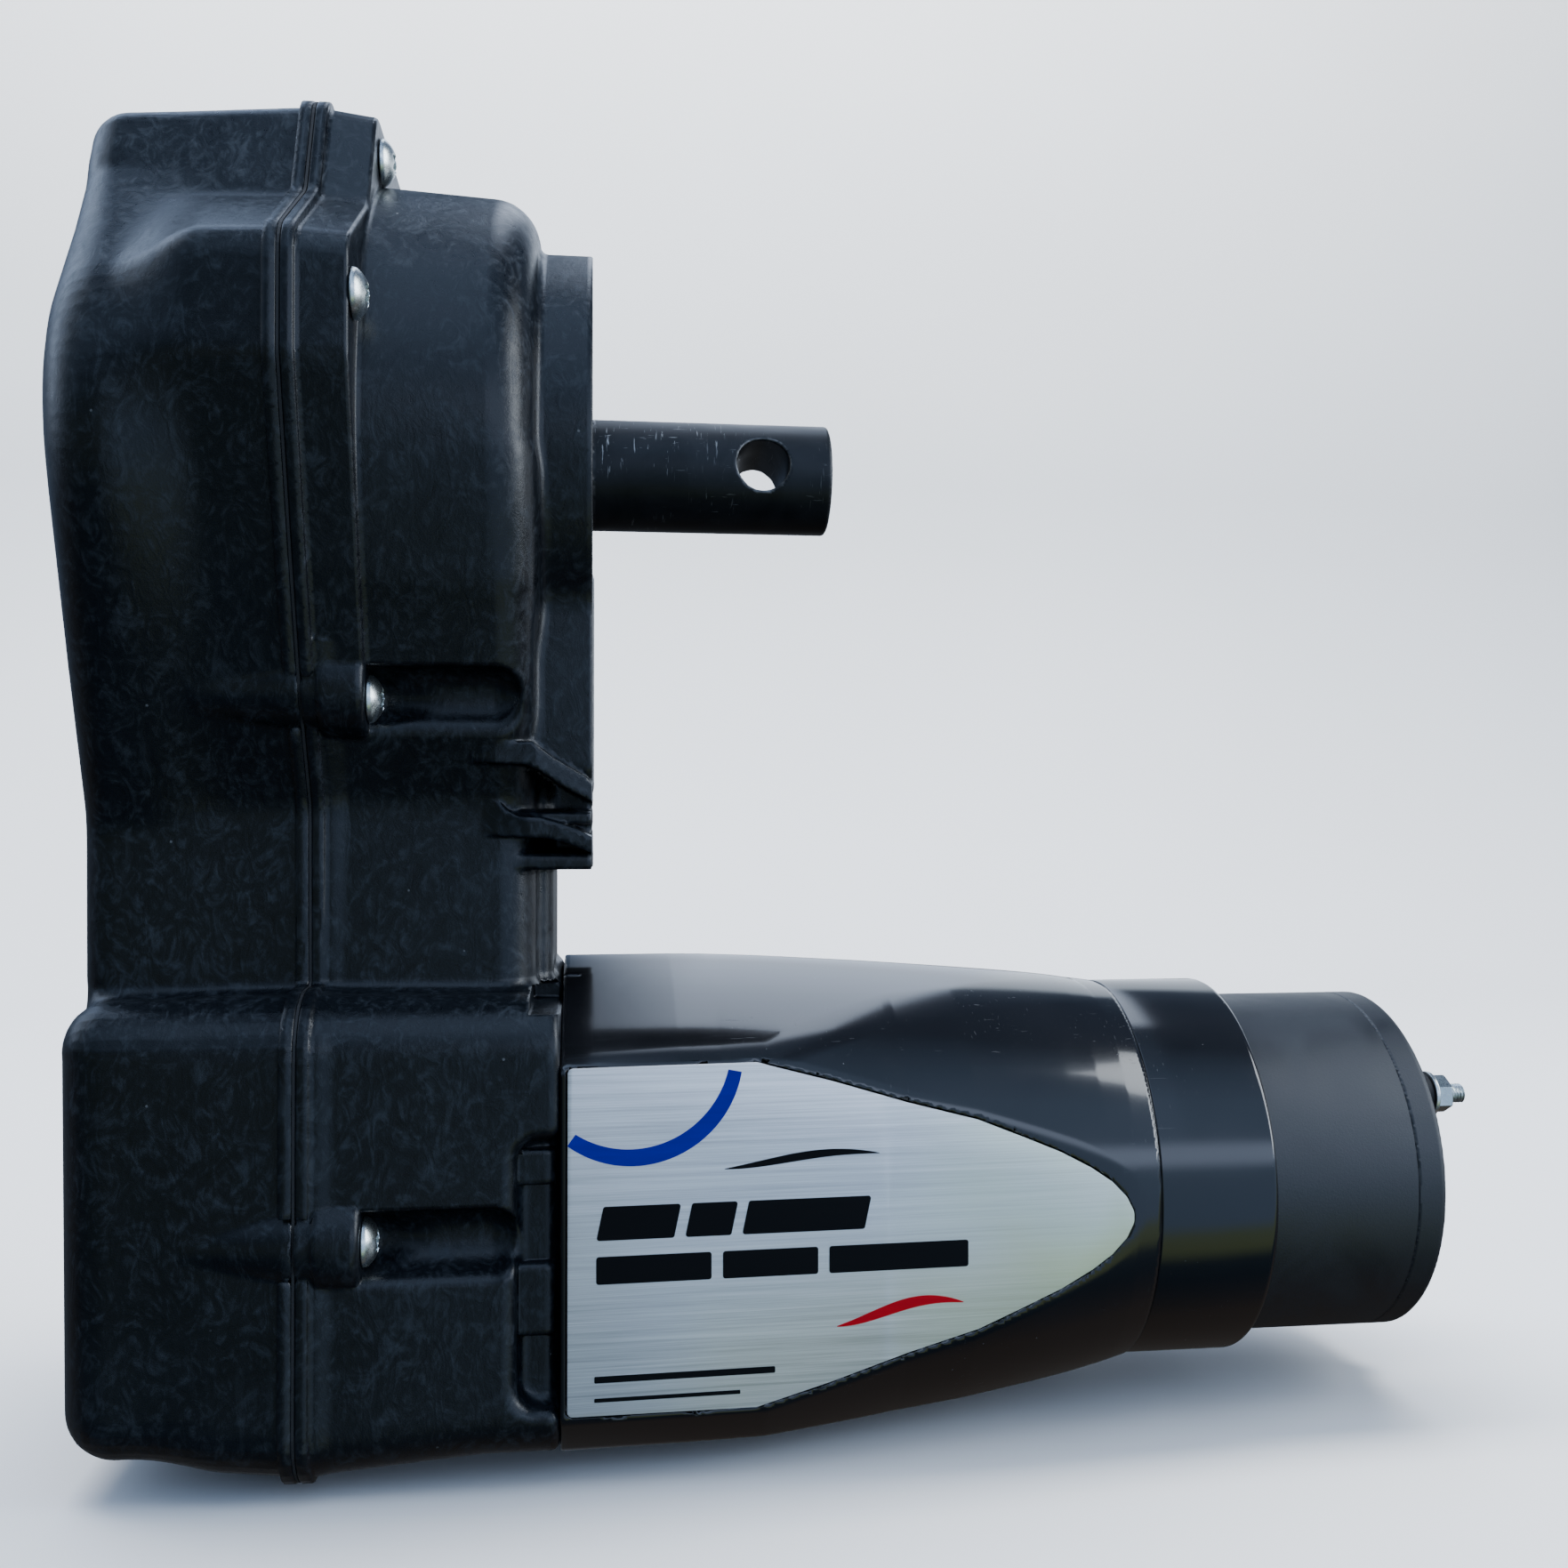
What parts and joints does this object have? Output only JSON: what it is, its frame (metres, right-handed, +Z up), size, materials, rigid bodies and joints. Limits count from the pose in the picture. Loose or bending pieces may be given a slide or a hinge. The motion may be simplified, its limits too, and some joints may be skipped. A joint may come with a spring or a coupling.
{
  "type": "tarp roller gear motor",
  "caption": "Twelve-volt offset gear motor with a cross-drilled output shaft, a tall moulded gear case and a shrouded motor hung below.",
  "frame": {"origin": "where the output shaft's axis crosses the mounting face", "axes": "+X along the output shaft, out of the mounting face; +Z up from the motor to the output shaft; +Y completes the right-handed frame, so -Y is the side with the data plate shown"},
  "size_m": [0.346, 0.1568, 0.3188],
  "materials": {
    "case_black": "satin glass-filled moulding, fine grain",
    "shroud_black": "glossy black",
    "can_black": "matte black paint",
    "black_oxide": "black oxide, handling scratches",
    "zinc_plate": "bright zinc plate",
    "plate_alloy": "brushed horizontally",
    "rubber_black": "matte",
    "gear_steel": "ground and oiled",
    "bearing_steel": "polished",
    "bronze": "sintered bronze",
    "core_steel": "stacked laminations",
    "copper": "enamelled copper",
    "magnet_grey": "ferrite",
    "carbon": "pressed carbon",
    "board_brown": "phenolic board",
    "brass_insert": "machined",
    "spring_steel": "spring temper",
    "cast_alloy": "die cast"
  },
  "bodies": {
    "gear_case": {"front_housing": "case_black", "rear_cover": "case_black", "case_gasket": "rubber_black", "case_screws": "zinc_plate", "output_front_bearing_outer": "bearing_steel", "output_front_bearing_balls": "bearing_steel", "output_rear_bearing_outer": "bearing_steel", "output_rear_bearing_balls": "bearing_steel", "output_seal": "rubber_black", "mounting_inserts": "brass_insert", "layshaft_bushes": "bronze", "idler_pin": "gear_steel", "idler_clip": "spring_steel", "carrier_bush": "bronze", "ring_gear": "gear_steel", "motor_bearing_outer": "bearing_steel", "motor_bearing_balls": "bearing_steel", "motor_front_plate": "cast_alloy", "motor_screws": "zinc_plate", "motor_can": "can_black", "field_magnets": "magnet_grey", "brush_plate": "board_brown", "brush_holders": "brass_insert", "brushes": "carbon", "brush_springs": "spring_steel", "rear_end_bell": "can_black", "through_bolts": "zinc_plate", "terminal_studs": "zinc_plate", "stud_nuts": "zinc_plate", "stud_washers": "zinc_plate", "stud_insulators": "rubber_black", "motor_shroud": "shroud_black", "motor_collar": "shroud_black", "data_plate_near": "plate_alloy", "data_plate_far": "plate_alloy"},
    "output_drive": {"output_shaft": "black_oxide", "output_gear": "gear_steel", "output_key": "gear_steel", "output_retaining_ring": "spring_steel", "output_front_bearing_inner": "bearing_steel", "output_rear_bearing_inner": "bearing_steel"},
    "layshaft_drive": {"layshaft": "gear_steel", "layshaft_gear": "gear_steel", "layshaft_key": "gear_steel"},
    "idler_drive": {"idler_gear": "gear_steel", "idler_bush": "bronze"},
    "carrier_drive": {"planet_carrier": "gear_steel", "planet_pins": "gear_steel"},
    "planet_drive_1": {"planet_gear_1": "gear_steel"},
    "planet_drive_2": {"planet_gear_2": "gear_steel"},
    "planet_drive_3": {"planet_gear_3": "gear_steel"},
    "armature": {"armature_shaft": "gear_steel", "sun_gear": "gear_steel", "armature_core": "core_steel", "armature_windings": "copper", "commutator": "copper", "motor_bearing_inner": "bearing_steel"}
  },
  "joints": [
    {"name": "output_spin", "type": "hinge", "parent": "gear_case", "child": "output_drive", "pos_m": [0, 0, 0], "axis": [1, 0, 0], "continuous": true},
    {"name": "layshaft_spin", "type": "hinge", "parent": "gear_case", "child": "layshaft_drive", "pos_m": [-0.083, 0, -0.075], "axis": [1, 0, 0], "continuous": true},
    {"name": "idler_spin", "type": "hinge", "parent": "gear_case", "child": "idler_drive", "pos_m": [-0.083, 0, -0.138], "axis": [1, 0, 0], "continuous": true},
    {"name": "carrier_spin", "type": "hinge", "parent": "gear_case", "child": "carrier_drive", "pos_m": [-0.083, 0, -0.183], "axis": [1, 0, 0], "continuous": true},
    {"name": "planet_spin_1", "type": "hinge", "parent": "carrier_drive", "child": "planet_drive_1", "pos_m": [-0.033, 0, -0.1614], "axis": [1, 0, 0], "continuous": true},
    {"name": "planet_spin_2", "type": "hinge", "parent": "carrier_drive", "child": "planet_drive_2", "pos_m": [-0.033, -0.01871, -0.1938], "axis": [1, 0, 0], "continuous": true},
    {"name": "planet_spin_3", "type": "hinge", "parent": "carrier_drive", "child": "planet_drive_3", "pos_m": [-0.033, 0.01871, -0.1938], "axis": [1, 0, 0], "continuous": true},
    {"name": "armature_spin", "type": "hinge", "parent": "gear_case", "child": "armature", "pos_m": [0.1, 0, -0.183], "axis": [1, 0, 0], "continuous": true}
  ],
  "couplings": [
    {"joint": "layshaft_spin", "follows": "output_spin", "ratio": -4},
    {"joint": "idler_spin", "follows": "output_spin", "ratio": 4.4},
    {"joint": "carrier_spin", "follows": "output_spin", "ratio": -8.8},
    {"joint": "planet_spin_1", "follows": "output_spin", "ratio": 22},
    {"joint": "planet_spin_2", "follows": "output_spin", "ratio": 22},
    {"joint": "planet_spin_3", "follows": "output_spin", "ratio": 22},
    {"joint": "armature_spin", "follows": "output_spin", "ratio": -52.8}
  ]
}
